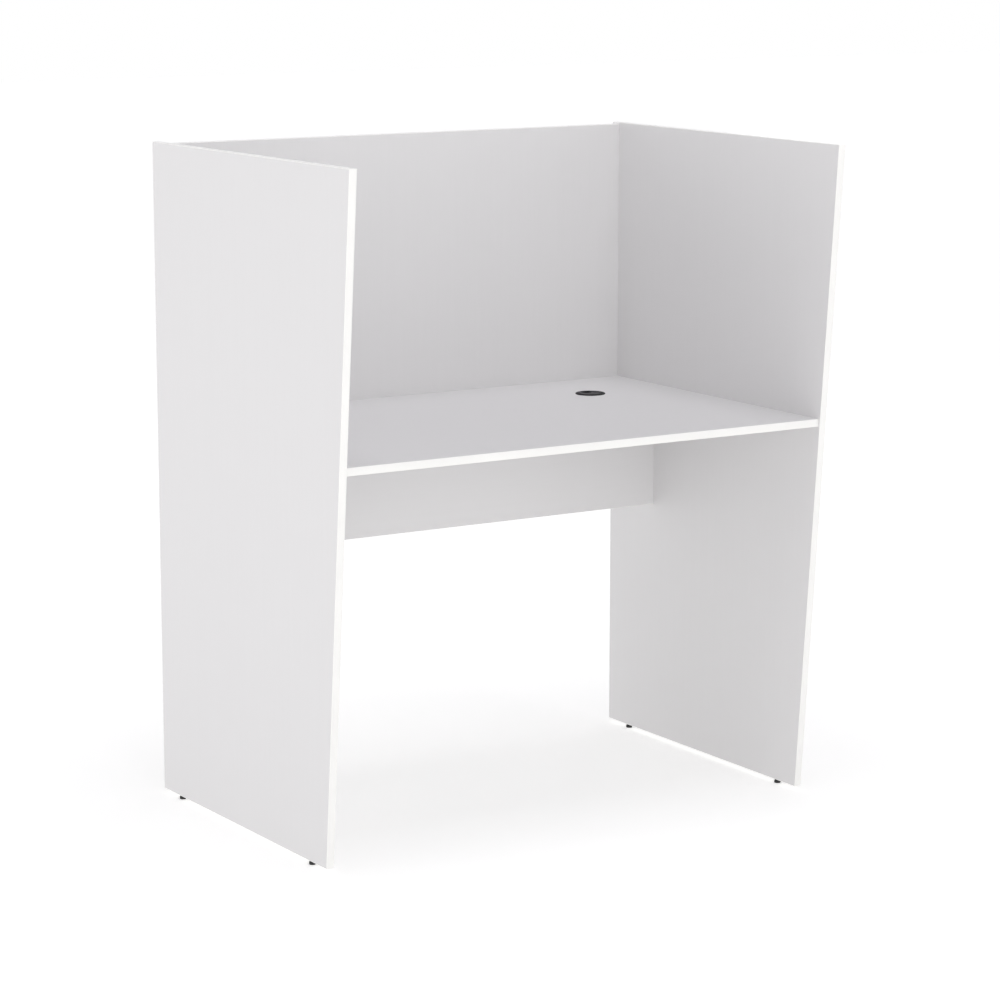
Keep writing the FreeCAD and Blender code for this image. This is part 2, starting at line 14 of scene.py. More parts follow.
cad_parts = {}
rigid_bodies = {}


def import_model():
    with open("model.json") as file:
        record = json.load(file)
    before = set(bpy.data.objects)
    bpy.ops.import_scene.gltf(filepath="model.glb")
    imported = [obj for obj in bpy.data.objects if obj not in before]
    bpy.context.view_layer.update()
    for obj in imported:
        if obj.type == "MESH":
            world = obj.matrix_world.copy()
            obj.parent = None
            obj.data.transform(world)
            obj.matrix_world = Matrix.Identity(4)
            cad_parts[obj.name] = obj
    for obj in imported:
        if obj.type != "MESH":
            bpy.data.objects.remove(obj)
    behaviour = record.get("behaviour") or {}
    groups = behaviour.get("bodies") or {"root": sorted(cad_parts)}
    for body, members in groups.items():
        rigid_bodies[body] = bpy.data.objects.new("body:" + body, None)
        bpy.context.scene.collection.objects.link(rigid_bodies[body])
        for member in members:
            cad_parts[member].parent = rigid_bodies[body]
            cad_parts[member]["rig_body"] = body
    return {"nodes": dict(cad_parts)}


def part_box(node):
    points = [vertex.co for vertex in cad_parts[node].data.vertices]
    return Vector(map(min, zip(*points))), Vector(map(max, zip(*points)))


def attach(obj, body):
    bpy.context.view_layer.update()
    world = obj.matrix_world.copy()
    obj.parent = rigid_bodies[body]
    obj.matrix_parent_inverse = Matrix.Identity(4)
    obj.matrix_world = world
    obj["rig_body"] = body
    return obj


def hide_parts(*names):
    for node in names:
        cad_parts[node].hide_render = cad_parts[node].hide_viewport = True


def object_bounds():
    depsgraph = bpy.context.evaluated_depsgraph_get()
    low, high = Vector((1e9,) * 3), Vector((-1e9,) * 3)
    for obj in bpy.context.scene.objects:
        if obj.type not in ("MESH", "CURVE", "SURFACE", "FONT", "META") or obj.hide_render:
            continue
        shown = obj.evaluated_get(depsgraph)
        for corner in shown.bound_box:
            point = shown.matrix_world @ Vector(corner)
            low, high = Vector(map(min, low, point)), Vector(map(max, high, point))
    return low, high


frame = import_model()
CAD_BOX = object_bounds()

bl_info = {
    "name": "Study Carrel",
    "version": (1, 0, 0),
    "blender": (4, 5, 0),
    "location": "3D View > Sidebar > Carrel",
    "description": "Builds the visible pieces and finishes of a study carrel",
    "category": "Object",
}

MM = 0.001
SIDES = ("left", "right")
ENDS = ("front", "rear")
RIGHT = Vector((1, 0, 0))
REARWARD = Vector((0, 1, 0))
UP = Vector((0, 0, 1))
SHARP_ANGLE = math.radians(30)
TURN = 2 * math.pi
SENSOR_WIDTH = 36

# How close two vertices or cuts may lie before they count as one
WELD = 0.01 * MM
CLEAN_WELD = 0.002 * MM
NODE_WELD = 0.001 * MM
CUT_LIMIT = 0.0001 * MM
NEAR_FACE = 0.1 * MM

# Shares of one pitch that a thread's outline spends at the root, rising, on the crest, falling
# and at the root again
MACHINE_THREAD = (0.12, 0.32, 0.12, 0.32, 0.12)
WOOD_THREAD = (0.33, 0.14, 0.06, 0.14, 0.33)

# Shares of a cam cover's radius and of its rim's height, from the rim to near the crown's middle
COVER_CROWN = ((1, 1), (0.985, 0.72), (0.93, 0.38), (0.80, 0.16), (0.55, 0.05), (0.25, 0))

# How the streaks of a board's face run
BOARD_GRAIN = {
    "left_side_panel": "upright",
    "right_side_panel": "upright",
    "rear_screen": "upright",
    "modesty_panel": "across",
    "desktop": "across",
}

# Each strip that runs from side to side, and the board whose edge it covers
CROSS_STRIPS = {
    "desktop_front_strip": "desktop",
    "desktop_rear_strip": "desktop",
    "rear_screen_top_strip": "rear_screen",
    "modesty_bottom_strip": "modesty_panel",
}

# The way that each group of covers faces, and that each group of bolts or dowels points
OUTWARD = {
    "desktop_cam_covers": -UP,
    "screen_cam_covers": REARWARD,
    "modesty_cam_covers": REARWARD,
}
BOLT_WAYS = {
    "left_cam_bolts": RIGHT,
    "right_cam_bolts": -RIGHT,
    "screen_to_desk_cam_bolts": UP,
    "modesty_to_desk_cam_bolts": -UP,
}
DOWEL_WAYS = {
    "left_dowels": RIGHT,
    "right_dowels": RIGHT,
    "screen_to_desk_dowels": UP,
    "modesty_to_desk_dowels": UP,
}

# Each lamp's place, its width and height, and its tone
LAMPS = {
    "key": ((-1.2, -5.0, 1.5), (3.0, 2.0), (1, 1, 0.99)),
    "side": ((-4.8, 0.4, 1.2), (2.6, 2.0), (1, 0.99, 1)),
    "top": ((0, -0.3, 3.8), (2.2, 2.2), (0.97, 0.97, 1)),
    "back": ((4.6, 3.4, 1.5), (2.6, 2.0), (1, 1, 1)),
}


# Values a user would change ----------------------------------------------------------------------

def length(name, description, default):
    """A length property, given in millimetres."""
    return FloatProperty(name=name, description=description, default=default * MM,
                         unit="LENGTH", precision=5)


def colour(name, description, default):
    """A colour property."""
    return FloatVectorProperty(name=name, description=description, default=default,
                               subtype="COLOR", size=3, min=0, max=1)


def watts(name, description, default):
    """The power of a lamp."""
    return FloatProperty(name=name, description=description, default=default, min=0, unit="POWER")


def factor(name, description, default):
    """A plain factor."""
    return FloatProperty(name=name, description=description, default=default, min=0)


def angle(name, description, default):
    """An angle property, given in degrees."""
    return FloatProperty(name=name, description=description, default=math.radians(default),
                         subtype="ANGLE")


class CarrelFinishes(bpy.types.PropertyGroup):
    """Colours of the carrel's materials."""
    board: colour("Board", "White melamine face", (0.741, 0.733, 0.736))
    strip: colour("Edge strip", "White plastic edge strip", (0.915, 0.910, 0.890))
    cover: colour("Cam cover", "White moulded cover", (0.840, 0.835, 0.830))
    zinc: colour("Zinc", "Die-cast cam", (0.560, 0.565, 0.575))
    steel: colour("Steel", "Plated bolt or stud", (0.640, 0.640, 0.625))
    brass: colour("Brass", "Threaded insert", (0.740, 0.560, 0.270))
    beech_light: colour("Beech, light", "Early wood of a dowel", (0.640, 0.455, 0.270))
    beech_dark: colour("Beech, dark", "Flecks and late wood of a dowel", (0.430, 0.270, 0.140))
    nylon: colour("Nylon", "Black foot", (0.016, 0.016, 0.017))
    charcoal: colour("Charcoal", "Lid of the cable grommet", (0.026, 0.025, 0.027))
    sleeve: colour("Sleeve", "Sleeve of the cable grommet", (0.012, 0.012, 0.013))


class CarrelSizes(bpy.types.PropertyGroup):
    """Details that the frame's boxes do not give."""
    strip_thickness: length("Strip thickness", "Thickness of the edge strips", 1.0)
    strip_rounding: length("Strip rounding", "Radius of a strip's long edges", 0.7)
    cover_thickness: length("Cover thickness", "Height of a cam cover's rim and crown", 1.0)
    cover_rim: length("Cover rim", "Height of a cam cover's upright rim", 0.45)
    peg_radius: length("Peg radius", "Radius of the peg under a cam cover", 2.0)
    foot_disc: length("Foot disc", "Height of a foot's round base", 4.7)
    foot_flats: length("Foot flats", "Size across the flats of a foot's hexagon", 10.0)
    foot_rounding: length("Foot rounding", "Radius of a foot's edges", 0.6)
    stud_gap: length("Stud gap", "Gap round a stud in its foot", 0.08)
    stud_pitch: length("Stud pitch", "Pitch of a stud's thread", 1.0)
    stud_depth: length("Stud thread depth", "Depth of a stud's thread", 0.55)
    screw_pitch: length("Bolt pitch", "Pitch of a cam bolt's wood thread", 2.4)
    screw_radius: length("Bolt thread radius", "Outer radius of a cam bolt's wood thread", 2.5)
    screw_depth: length("Bolt thread depth", "Depth of a cam bolt's wood thread", 0.8)
    screw_length: length("Bolt thread length", "Length of a cam bolt's wood thread", 11.0)
    neck_radius: length("Bolt neck", "Radius of a cam bolt's neck", 2.0)
    neck_length: length("Bolt neck length", "Length of a cam bolt's neck", 7.0)
    head_length: length("Bolt head length", "Length of a cam bolt's head", 4.0)
    flute_depth: length("Flute depth", "Depth of a dowel's flutes", 0.3)
    dowel_chamfer: length("Dowel chamfer", "Chamfer of a dowel's ends", 1.0)
    rim_thickness: length("Grommet rim", "Height of the grommet's rim above the desktop", 2.0)
    rim_lip: length("Grommet rim width", "Width of the grommet's rim", 5.0)
    grommet_wall: length("Grommet wall", "Wall of the grommet's sleeve", 2.0)
    grommet_ledge: length("Grommet ledge", "Width of the ledge that carries the lid", 2.0)
    ledge_thickness: length("Ledge thickness", "Thickness of the lid's ledge", 1.5)
    lid_thickness: length("Lid thickness", "Thickness of the lid's plate", 2.5)
    skirt_wall: length("Skirt wall", "Wall of the lid's skirt", 1.5)
    notch_radius: length("Notch radius", "Half the width of the lid's cable notch", 11.0)
    notch_depth: length("Notch depth", "How far the notch reaches in from the lid's edge", 19.0)
    notch_rounding: length("Notch rounding", "Radius of the notch's upper edge", 0.3)


class CarrelStudio(bpy.types.PropertyGroup):
    """Camera, lights and floor."""
    camera_place: FloatVectorProperty(name="Camera", description="Where the camera stands", size=3,
                                      default=(-3.308, -5.274, 1.734), subtype="TRANSLATION")
    camera_azimuth: angle("Azimuth", "Way the camera looks, clockwise from +Y", 32.15)
    camera_tilt: angle("Tilt", "How far the camera looks down", 10.40)
    camera_lens: FloatProperty(name="Lens", description="Focal length in millimetres",
                               default=118.1, min=1)
    floor_half: length("Floor", "Half the floor's width", 24000)
    floor_colour: colour("Floor colour", "Pale studio floor", (0.93, 0.93, 0.92))
    near_glow: factor("Near glow", "Floor's own light beside the carrel", 0.33)
    far_glow: factor("Far glow", "Floor's own light further off", 0.545)
    glow_start: length("Glow start", "Distance at which the far glow begins to show", 800)
    glow_end: length("Glow end", "Distance at which the far glow is full", 3500)
    sky_colour: colour("Surround", "Colour of the light from all round", (1, 1, 1))
    zenith_colour: colour("Overhead", "Colour of the light from overhead", (0.36, 0.355, 0.37))
    zenith_start: factor("Overhead start", "Upward share with the full overhead colour", 0.8)
    sky_strength: factor("Surround strength", "Strength of the light from all round", 1.0)
    key_power: watts("Key light", "Large light in front", 36)
    side_power: watts("Side light", "Light on the left", 26)
    top_power: watts("Top light", "Light overhead", 36)
    back_power: watts("Back light", "Light behind the right side", 22)


# Edit-mode tools ---------------------------------------------------------------------------------

def deselect_all():
    """Go to object mode and select nothing."""
    if bpy.context.mode != "OBJECT":
        bpy.ops.object.mode_set(mode="OBJECT")
    bpy.ops.object.select_all(action="DESELECT")


def only(piece):
    """Make a piece the only selected object."""
    deselect_all()
    piece.select_set(True)
    bpy.context.view_layer.objects.active = piece


def begin(primitive, name, **place):
    """Add a primitive, alone in the selection."""
    deselect_all()
    primitive(**place)
    piece = bpy.context.active_object
    piece.name = name
    piece.data.name = name
    return piece


def edit(piece):
    """Enter edit mode on one piece."""
    only(piece)
    bpy.ops.object.mode_set(mode="EDIT")


def leave_edit():
    """Point the faces outwards and go back to object mode."""
    bpy.ops.mesh.select_all(action="SELECT")
    bpy.ops.mesh.normals_make_consistent(inside=False)
    bpy.ops.object.mode_set(mode="OBJECT")


def pick(piece, kind, wanted):
    """Select only the vertices, edges or faces that a test wants."""
    bpy.ops.mesh.select_mode(type=kind)
    bpy.ops.mesh.select_all(action="DESELECT")
    mesh = bmesh.from_edit_mesh(piece.data)
    for element in {"VERT": mesh.verts, "EDGE": mesh.edges, "FACE": mesh.faces}[kind]:
        if wanted(element):
            element.select_set(True)
    mesh.select_flush_mode()
    bmesh.update_edit_mesh(piece.data)


def extrude_ring(move, scale, centre):
    """Extrude the selected ring, move it and resize it about a centre."""
    bpy.ops.mesh.extrude_region_move(TRANSFORM_OT_translate={"value": move})
    bpy.ops.transform.resize(value=(scale, scale, 1), center_override=centre)


def turned(name, rings, sides, closed=False):
    """Piece turned about the Z axis: a circle extruded from ring to ring of (radius, height)."""
    radius, height = rings[0]
    piece = begin(bpy.ops.mesh.primitive_circle_add, name, vertices=sides, radius=radius,
                  fill_type="NOTHING", location=(0, 0, height))
    apply_place(piece)
    edit(piece)
    bpy.ops.mesh.select_all(action="SELECT")
    for (old_radius, old_height), (new_radius, new_height) in zip(rings, rings[1:]):
        if new_radius:
            extrude_ring((0, 0, new_height - old_height), new_radius / old_radius,
                         (0, 0, new_height))
        else:
            rise = (0, 0, new_height - old_height)
            bpy.ops.mesh.extrude_region_move(TRANSFORM_OT_translate={"value": rise})
            bpy.ops.mesh.merge(type="CENTER")
    if closed:
        bpy.ops.mesh.select_all(action="SELECT")
        bpy.ops.mesh.remove_doubles(threshold=WELD)
    else:
        pick(piece, "EDGE", lambda edge: edge.is_boundary)
        bpy.ops.mesh.edge_face_add()
    leave_edit()
    return piece


def apply_place(piece):
    """Move a piece's place and turn into its mesh."""
    only(piece)
    bpy.ops.object.transform_apply(location=True, rotation=True, scale=True)


def modify(piece, kind, **settings):
    """Add a modifier and apply it."""
    only(piece)
    modifier = piece.modifiers.new(kind.title(), kind)
    for key, value in settings.items():
        setattr(modifier, key, value)
    bpy.ops.object.modifier_apply(modifier=modifier.name)


def soften(piece, width):
    """Round every sharp edge of a piece."""
    modify(piece, "BEVEL", width=width, segments=3, limit_method="ANGLE",
           angle_limit=SHARP_ANGLE, use_clamp_overlap=True)


def shade(piece):
    """Smooth shading that keeps sharp edges sharp."""
    only(piece)
    bpy.ops.object.shade_smooth_by_angle(angle=SHARP_ANGLE)


def combine(piece, tool, operation):
    """Cut a tool out of a piece or join it on, and remove the tool."""
    modify(piece, "BOOLEAN", object=tool, operation=operation, solver="EXACT")
    bpy.data.objects.remove(tool)
    clean(piece)


def clean(piece):
    """Merge vertices that lie on each other and drop faces with no area."""
    edit(piece)
    bpy.ops.mesh.select_all(action="SELECT")
    bpy.ops.mesh.remove_doubles(threshold=CLEAN_WELD)
    bpy.ops.mesh.dissolve_degenerate(threshold=CLEAN_WELD)
    leave_edit()


def threaded_rod(name, root, crest, pitch, low, high, shape, steps):
    """Threaded rod about the Z axis: one pitch of outline, swept up a helix and cut off square.

    The sweep starts a little more than a pitch below the rod, so both cuts go through whole turns.
    """
    piece = begin(bpy.ops.mesh.primitive_circle_add, name, vertices=4, radius=root,
                  fill_type="NOTHING", location=(0, 0, low - 1.01 * pitch))
    apply_place(piece)
    edit(piece)
    pick(piece, "VERT", lambda vertex: vertex.co.y < 0.5 * root)
    bpy.ops.mesh.delete(type="VERT")
    bpy.ops.mesh.select_all(action="SELECT")
    for outwards, share in zip((0, 1, 0, -1, 0), shape):
        step = (0, outwards * (crest - root), share * pitch)
        bpy.ops.mesh.extrude_region_move(TRANSFORM_OT_translate={"value": step})
    bpy.ops.object.mode_set(mode="OBJECT")
    modify(piece, "SCREW", axis="Z", angle=TURN, screw_offset=pitch,
           iterations=math.ceil((high - low) / pitch) + 2, steps=steps, render_steps=steps)
    edit(piece)
    bpy.ops.mesh.select_all(action="SELECT")
    bpy.ops.mesh.remove_doubles(threshold=CLEAN_WELD)
    for height, normal in ((low, -1), (high, 1)):
        bpy.ops.mesh.select_all(action="SELECT")
        bpy.ops.mesh.bisect(plane_co=(0, 0, height), plane_no=(0, 0, normal), use_fill=True,
                            clear_outer=True, threshold=CUT_LIMIT)
    leave_edit()
    return piece


def solid_boxes(node):
    """Lowest and highest corners of each separate solid in a CAD node, in order of place."""
    mesh = bmesh.new()
    mesh.from_mesh(frame["nodes"][node].data)
    bmesh.ops.remove_doubles(mesh, verts=mesh.verts, dist=NODE_WELD)
    unseen = set(mesh.verts)
    boxes = []
    while unseen:
        waiting = [unseen.pop()]
        reached = []
        while waiting:
            vertex = waiting.pop()
            reached.append(vertex.co.copy())
            beside = {edge.other_vert(vertex) for edge in vertex.link_edges} & unseen
            unseen -= beside
            waiting.extend(beside)
        boxes.append((Vector(map(min, zip(*reached))), Vector(map(max, zip(*reached)))))
    mesh.free()
    return sorted(boxes, key=lambda box: tuple(round(value, 5) for value in box[0]))


def end_centre(box, way):
    """Middle of the face of a box that looks along a row axis."""
    low, high = box
    middle = (low + high) / 2
    half = (high - low) / 2
    return middle + Vector(w * h for w, h in zip(way, half))


def placement(point, up):
    """Matrix that stands a piece, drawn along +Z, at a point, with its top facing a row axis."""
    across = REARWARD if up.x else RIGHT
    turn = Matrix((across, up.cross(across), up)).transposed().to_4x4()
    return Matrix.Translation(point) @ turn


def copies(name, master, matrices):
    """One object that holds a copy of the master at each matrix."""
    parts = []
    for matrix in matrices:
        part = master.copy()
        part.data = master.data.copy()
        part.data.transform(matrix)
        bpy.context.scene.collection.objects.link(part)
        parts.append(part)
    deselect_all()
    for part in parts:
        part.select_set(True)
    bpy.context.view_layer.objects.active = parts[0]
    if len(parts) > 1:
        bpy.ops.object.join()
    piece = bpy.context.view_layer.objects.active
    piece.name = name
    piece.data.name = name
    return piece


def stand_for(piece, node, finish):
    """Finish a piece that replaces a CAD node and rides with its body."""
    shade(piece)
    piece.data.materials.clear()
    piece.data.materials.append(finish)
    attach(piece, frame["nodes"][node]["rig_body"])
    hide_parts(node)


def dress(node, finish):
    """Give a CAD node a finish."""
    for slot in frame["nodes"][node].material_slots:
        slot.material = finish


# Shader expressions ------------------------------------------------------------------------------

class Wire:
    """A socket in a sum: arithmetic on it adds Math nodes."""

    def __init__(self, finish, socket):
        self.finish = finish
        self.socket = socket

    def sum_up(self, operation, first, second):
        """Add a Math node for one operation."""
        return self.finish.node("ShaderNodeMath", {"operation": operation}, {0: first, 1: second})

    def __add__(self, other):
        return self.sum_up("ADD", self, other)

    def __radd__(self, other):
        return self.sum_up("ADD", other, self)

    def __mul__(self, other):
        return self.sum_up("MULTIPLY", self, other)

    def __rmul__(self, other):
        return self.sum_up("MULTIPLY", other, self)


class Finish:
    """A procedural material, built on Object coordinates."""

    def __init__(self, name):
        self.material = bpy.data.materials.new(name)
        self.material.use_nodes = True
        self.tree = self.material.node_tree
        self.tree.nodes.clear()
        output = self.tree.nodes.new("ShaderNodeOutputMaterial")
        self.shader = self.tree.nodes.new("ShaderNodeBsdfPrincipled")
        self.tree.links.new(self.shader.outputs["BSDF"], output.inputs["Surface"])
        self.place = self.node("ShaderNodeTexCoord", {}, {}, "Object")

    def node(self, kind, settings, inputs, output=0):
        """Add a node, set it up, feed its sockets and return one of its outputs."""
        node = self.tree.nodes.new(kind)
        for key, value in settings.items():
            setattr(node, key, value)
        for key, value in inputs.items():
            self.feed(node.inputs[key], value)
        return Wire(self, node.outputs[output])

    def feed(self, socket, value):
        """Link a wire to a socket or set a plain value on it."""
        if isinstance(value, Wire):
            self.tree.links.new(value.socket, socket)
        else:
            socket.default_value = value

    def noise(self, stretch, detail=2.0, roughness=0.5):
        """Noise with the given number of features per metre along each axis."""
        scaled = self.node("ShaderNodeMapping", {}, {"Vector": self.place, "Scale": stretch})
        return self.node("ShaderNodeTexNoise", {}, {"Vector": scaled, "Scale": 1.0,
                                                    "Detail": detail, "Roughness": roughness})

    def ramp(self, value, low, high):
        """Stretch a value so that low becomes 0 and high becomes 1."""
        return self.node("ShaderNodeMapRange", {"clamp": True},
                         {"Value": value, "From Min": low, "From Max": high})

    def blend(self, amount, first, second):
        """Mix two colours."""
        mix = self.tree.nodes.new("ShaderNodeMix")
        mix.data_type = "RGBA"
        for name, value in (("Factor_Float", amount), ("A_Color", first), ("B_Color", second)):
            socket = next(item for item in mix.inputs if item.identifier == name)
            plain_colour = not isinstance(value, Wire) and name != "Factor_Float"
            self.feed(socket, (*value, 1) if plain_colour else value)
        return Wire(self, next(item for item in mix.outputs if item.identifier == "Result_Color"))

    def bump(self, height, distance, strength):
        """Raise the surface by a height times a distance in metres."""
        self.feed(self.shader.inputs["Normal"],
                  self.node("ShaderNodeBump", {}, {"Height": height, "Distance": distance,
                                                   "Strength": strength}, "Normal"))

    def surface(self, colour_value, roughness, **constants):
        """Set the shader's colour and roughness, and constants on its other sockets."""
        plain = not isinstance(colour_value, Wire)
        self.feed(self.shader.inputs["Base Color"], (*colour_value, 1) if plain else colour_value)
        self.feed(self.shader.inputs["Roughness"], roughness)
        for name, value in constants.items():
            self.shader.inputs[name.replace("_", " ")].default_value = value
        return self.material


def tint(base, share):
    """A colour made lighter or darker by a share."""
    return tuple(min(channel * share, 1) for channel in base)


def melamine(direction):
    """White board face: faint streaks along the grain, fine pearl texture and soft cloudiness."""
    base = tuple(bpy.context.scene.carrel_finishes.board)
    finish = Finish(f"melamine_{direction}")
    streaks = {"upright": (620, 620, 9), "across": (9, 620, 620)}[direction]
    streak = finish.noise(streaks, detail=3, roughness=0.6)
    broad = {"upright": (95, 95, 1.6), "across": (1.6, 95, 95)}[direction]
    band = finish.noise(broad, detail=2)
    pearl = finish.noise((1500, 1500, 1500), detail=1)
    cloud = finish.noise((2.3, 2.3, 1.7), detail=2)
    shift = finish.ramp(streak * 0.40 + band * 0.25 + cloud * 0.35, 0.36, 0.64)
    shade_of_white = finish.blend(shift, tint(base, 0.990), tint(base, 1.008))
    finish.bump(pearl * 0.6 + streak * 0.4, 0.03 * MM, 0.15)
    return finish.surface(shade_of_white, 0.36 + cloud * 0.08 + pearl * 0.06,
                          Specular_IOR_Level=0.5)


def strip_plastic():
    """Extruded white edge strip with faint lines along its length."""
    base = tuple(bpy.context.scene.carrel_finishes.strip)
    finish = Finish("edge_strip_plastic")
    speck = finish.noise((700, 700, 700), detail=2)
    cloud = finish.noise((14, 14, 14), detail=2)
    white = finish.blend(finish.ramp(cloud, 0.35, 0.65), tint(base, 0.985), tint(base, 1.012))
    finish.bump(speck, 0.02 * MM, 0.18)
    return finish.surface(white, 0.27 + cloud * 0.10)


def cover_plastic():
    """Moulded white cover."""
    base = tuple(bpy.context.scene.carrel_finishes.cover)
    finish = Finish("cover_plastic")
    speck = finish.noise((1600, 1600, 1600), detail=2)
    flow = finish.noise((60, 60, 60), detail=1)
    white = finish.blend(flow, tint(base, 0.97), tint(base, 1.02))
    finish.bump(speck, 0.02 * MM, 0.3)
    return finish.surface(white, 0.33 + speck * 0.12)


def metal(name, base, roughness, speckle):
    """Plated, cast or turned metal, with fine speckle and duller patches."""
    finish = Finish(name)
    fine = finish.noise((speckle, speckle, speckle), detail=3)
    patch = finish.noise((speckle / 12,) * 3, detail=2)
    tone = finish.blend(finish.ramp(patch, 0.3, 0.7), tint(base, 0.88), tint(base, 1.05))
    finish.bump(fine, 0.03 * MM, 0.3)
    return finish.surface(tone, roughness + patch * 0.16 + fine * 0.06, Metallic=1.0)


def beech():
    """Beech: straight grain with short dark flecks."""
    finishes = bpy.context.scene.carrel_finishes
    finish = Finish("beech")
    grain = finish.noise((260, 900, 260), detail=4, roughness=0.65)
    fleck = finish.ramp(finish.noise((420, 2400, 420), detail=1), 0.60, 0.68)
    light, dark = tuple(finishes.beech_light), tuple(finishes.beech_dark)
    wood = finish.blend(finish.ramp(grain, 0.3, 0.75), light, dark)
    flecked = finish.blend(fleck * 0.6, wood, dark)
    finish.bump(grain * 0.7 + fleck * 0.3, 0.05 * MM, 0.5)
    return finish.surface(flecked, 0.58 + grain * 0.14)


def dark_plastic(name, base, grain, roughness, gloss):
    """Dark moulded plastic with an eroded mould texture and a little dust."""
    finish = Finish(name)
    pits = finish.noise((grain, grain, grain), detail=3, roughness=0.7)
    flow = finish.noise((55, 55, 55), detail=2)
    dust = finish.ramp(finish.noise((240, 240, 240), detail=4), 0.55, 0.80)
    tone = finish.blend(flow, tint(base, 0.82), tint(base, 1.25))
    dusty = finish.blend(dust * 0.05, tone, (0.5, 0.5, 0.5))
    finish.bump(pits, 0.06 * MM, 0.45)
    return finish.surface(dusty, roughness + pits * 0.14 + dust * 0.06,
                          Specular_IOR_Level=gloss)


def studio_white(studio):
    """Seamless pale floor that gives a little more light of its own away from the carrel."""
    base = tuple(studio.floor_colour)
    finish = Finish("studio_floor")
    tooth = finish.noise((6, 6, 6), detail=3)
    pale = finish.blend(tooth, tint(base, 0.995), tint(base, 1.005))
    reach = finish.node("ShaderNodeVectorMath", {"operation": "LENGTH"}, {0: finish.place},
                        "Value")
    finish.feed(finish.shader.inputs["Emission Color"],
                finish.blend(finish.ramp(reach, studio.glow_start, studio.glow_end),
                             (studio.near_glow,) * 3, (studio.far_glow,) * 3))
    return finish.surface(pale, 0.9, Specular_IOR_Level=0.1, Emission_Strength=1)


# Operators ---------------------------------------------------------------------------------------

class CARREL_OT_boards(bpy.types.Operator):
    """Finish the five boards"""
    bl_idname = "carrel.boards"
    bl_label = "Boards"

    def execute(self, context):
        faces = {direction: melamine(direction) for direction in ("upright", "across")}
        for node, direction in BOARD_GRAIN.items():
            dress(node, faces[direction])
        return {"FINISHED"}


class CARREL_OT_strips(bpy.types.Operator):
    """Model the edge strips, with rounded long edges"""
    bl_idname = "carrel.strips"
    bl_label = "Edge strips"

    def bar(self, name, low, high):
        """Straight bar between two corners."""
        piece = begin(bpy.ops.mesh.primitive_cube_add, name, size=1, location=(low + high) / 2)
        piece.scale = high - low
        apply_place(piece)
        return piece

    def lean(self, piece, wanted, forward):
        """Slide the vertices that a test wants towards the front."""
        edit(piece)
        pick(piece, "VERT", wanted)
        bpy.ops.transform.translate(value=(0, -forward, 0))
        leave_edit()

    def round_edges(self, piece, wanted, radius):
        """Round the long edges that a test wants."""
        edit(piece)
        pick(piece, "EDGE", wanted)
        bpy.ops.mesh.bevel(offset=radius, offset_type="OFFSET", segments=4, profile=0.5,
                           affect="EDGES")
        leave_edit()

    def side_strips(self, side, sizes, finish):
        """Rear, front and top strips of one side; the front one leans."""
        front_low, front_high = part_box(f"{side}_side_front_strip")
        rear_low, rear_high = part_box(f"{side}_side_rear_strip")
        top_low, top_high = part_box(f"{side}_side_top_strip")
        height = front_high.z - front_low.z
        slope = (front_high.y - front_low.y - sizes.strip_thickness) / height
        across = sizes.strip_thickness * math.sqrt(1 + slope * slope)
        run = front_high.y - front_low.y - across
        middle = (front_low.z + front_high.z) / 2

        def rear_face(edge):
            return self.along(edge, 2) and edge.verts[0].co.y > rear_high.y - NEAR_FACE

        rear = self.bar(f"{side}_rear_edge_strip", rear_low, rear_high)
        self.round_edges(rear, rear_face, sizes.strip_rounding)
        front = self.bar(f"{side}_front_edge_strip",
                         Vector((front_low.x, front_high.y - across, front_low.z)), front_high)
        self.lean(front, lambda vertex: vertex.co.z > middle, run)

        def front_face(edge):
            upright = [vertex.co.y + run * (vertex.co.z - front_low.z) / height
                       for vertex in edge.verts]
            return self.along(edge, 2) and max(upright) < front_high.y - 0.5 * across

        self.round_edges(front, front_face, sizes.strip_rounding)
        top = self.bar(f"{side}_top_edge_strip", top_low, top_high)
        level = (top_low.z + top_high.z) / 2
        centre = (top_low.y + top_high.y) / 2

        def upper_face(edge):
            return self.along(edge, 1) and edge.verts[0].co.z > level

        self.lean(top, lambda vertex: vertex.co.z < level and vertex.co.y < centre,
                  -slope * (top_high.z - top_low.z))
        self.round_edges(top, upper_face, sizes.strip_rounding)
        for piece, name in ((rear, "rear"), (front, "front"), (top, "top")):
            stand_for(piece, f"{side}_side_{name}_strip", finish)
        dress(f"{side}_side_bottom_strip", finish)

    def along(self, edge, axis):
        """True if an edge runs mostly along an axis."""
        run = edge.verts[1].co - edge.verts[0].co
        return abs(run[axis]) > 0.9 * run.length

    def cross_strip(self, node, board, sizes, finish):
        """Strip that runs from side to side, rounded on the face away from its board."""
        low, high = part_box(node)
        piece = self.bar(node.replace("_strip", "_edge_strip"), low, high)
        middle = (low + high) / 2
        thin = 1 if high.y - low.y < high.z - low.z else 2
        board_low, board_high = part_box(board)
        outwards = 1 if middle[thin] > (board_low[thin] + board_high[thin]) / 2 else -1

        def outer_face(edge):
            beyond = (edge.verts[0].co[thin] - middle[thin]) * outwards
            return self.along(edge, 0) and beyond > 0

        self.round_edges(piece, outer_face, sizes.strip_rounding)
        stand_for(piece, node, finish)

    def execute(self, context):
        sizes = context.scene.carrel_sizes
        finish = strip_plastic()
        for side in SIDES:
            self.side_strips(side, sizes, finish)
        for node, board in CROSS_STRIPS.items():
            self.cross_strip(node, board, sizes, finish)
        return {"FINISHED"}


